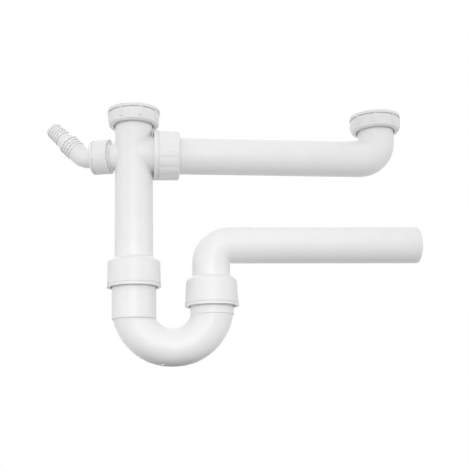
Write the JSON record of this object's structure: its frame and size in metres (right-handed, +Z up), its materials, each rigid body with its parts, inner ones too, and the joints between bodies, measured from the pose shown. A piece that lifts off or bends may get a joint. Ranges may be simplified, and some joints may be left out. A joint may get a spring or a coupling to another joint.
{
  "type": "double bowl sink trap",
  "caption": "White plastic tubular sink trap with a cross tube to a second bowl, a U-bend water seal, a drain tube and an angled barbed hose nozzle.",
  "frame": {"origin": "centre of the main inlet's sealing face, where the first bowl's waste presses on the gasket", "axes": "+Z up along the main inlet, +X along the cross tube towards the second bowl and along the drain tube"},
  "size_m": [0.4031, 0.0623, 0.2743],
  "materials": {
    "tube_plastic": "satin moulded white polypropylene",
    "nut_plastic": "satin moulded white polypropylene",
    "seal_rubber": "matte black rubber"
  },
  "bodies": {
    "tee": {"tee_pipe": "tube_plastic", "inlet_gasket": "seal_rubber", "hose_washer": "seal_rubber"},
    "inlet_nut": {"inlet_nut": "nut_plastic"},
    "cross_nut": {"cross_nut": "nut_plastic"},
    "cross_seal": {"cross_seal": "seal_rubber"},
    "cross_tube": {"cross_tube": "tube_plastic", "second_inlet_gasket": "seal_rubber"},
    "second_inlet_nut": {"second_inlet_nut": "nut_plastic"},
    "hose_nut": {"hose_nut": "nut_plastic"},
    "hose_nozzle": {"hose_nozzle": "tube_plastic"},
    "bend_inlet_seal": {"bend_inlet_seal": "seal_rubber"},
    "trap_bend": {"trap_bend": "tube_plastic"},
    "bend_inlet_nut": {"bend_inlet_nut": "nut_plastic"},
    "bend_outlet_nut": {"bend_outlet_nut": "nut_plastic"},
    "bend_outlet_seal": {"bend_outlet_seal": "seal_rubber"},
    "outlet_pipe": {"outlet_pipe": "tube_plastic"}
  },
  "joints": [
    {"name": "inlet_nut_turn", "type": "hinge", "parent": "tee", "child": "inlet_nut", "pos_m": [0, 0, 0], "axis": [0, 0, 1], "continuous": true},
    {"name": "cross_nut_turn", "type": "hinge", "parent": "tee", "child": "cross_nut", "pos_m": [0, 0, -0.0411], "axis": [1, 0, 0], "continuous": true},
    {"name": "cross_swivel", "type": "hinge", "parent": "tee", "child": "cross_seal", "pos_m": [0, 0, -0.0411], "axis": [1, 0, 0], "continuous": true},
    {"name": "cross_tube_slide", "type": "slide", "parent": "cross_seal", "child": "cross_tube", "axis": [1, 0, 0], "range_m": [-0.003, 0.009]},
    {"name": "second_inlet_nut_turn", "type": "hinge", "parent": "cross_tube", "child": "second_inlet_nut", "pos_m": [0.2706, 0, 0], "axis": [0, 0, 1], "continuous": true},
    {"name": "hose_nut_turn", "type": "hinge", "parent": "tee", "child": "hose_nut", "pos_m": [0, 0, -0.0411], "axis": [-0.9588, 0.284, 0], "continuous": true},
    {"name": "nozzle_swivel", "type": "hinge", "parent": "tee", "child": "hose_nozzle", "pos_m": [0, 0, -0.0411], "axis": [-0.9588, 0.284, 0], "continuous": true},
    {"name": "bend_height_slide", "type": "slide", "parent": "tee", "child": "bend_inlet_seal", "axis": [0, 0, 1], "range_m": [-0.015, 0.015]},
    {"name": "bend_swivel", "type": "hinge", "parent": "bend_inlet_seal", "child": "trap_bend", "pos_m": [0, 0, 0], "axis": [0, 0, 1], "continuous": true},
    {"name": "bend_inlet_nut_turn", "type": "hinge", "parent": "trap_bend", "child": "bend_inlet_nut", "pos_m": [0, 0, 0], "axis": [0, 0, 1], "continuous": true},
    {"name": "bend_outlet_nut_turn", "type": "hinge", "parent": "trap_bend", "child": "bend_outlet_nut", "pos_m": [0.0808, 0, 0], "axis": [0, 0, 1], "continuous": true},
    {"name": "outlet_swivel", "type": "hinge", "parent": "trap_bend", "child": "bend_outlet_seal", "pos_m": [0.0808, 0, 0], "axis": [0, 0, 1], "range_deg": [-135, 135]},
    {"name": "outlet_height_slide", "type": "slide", "parent": "bend_outlet_seal", "child": "outlet_pipe", "axis": [0, 0, 1], "range_m": [-0.007, 0.01]}
  ]
}
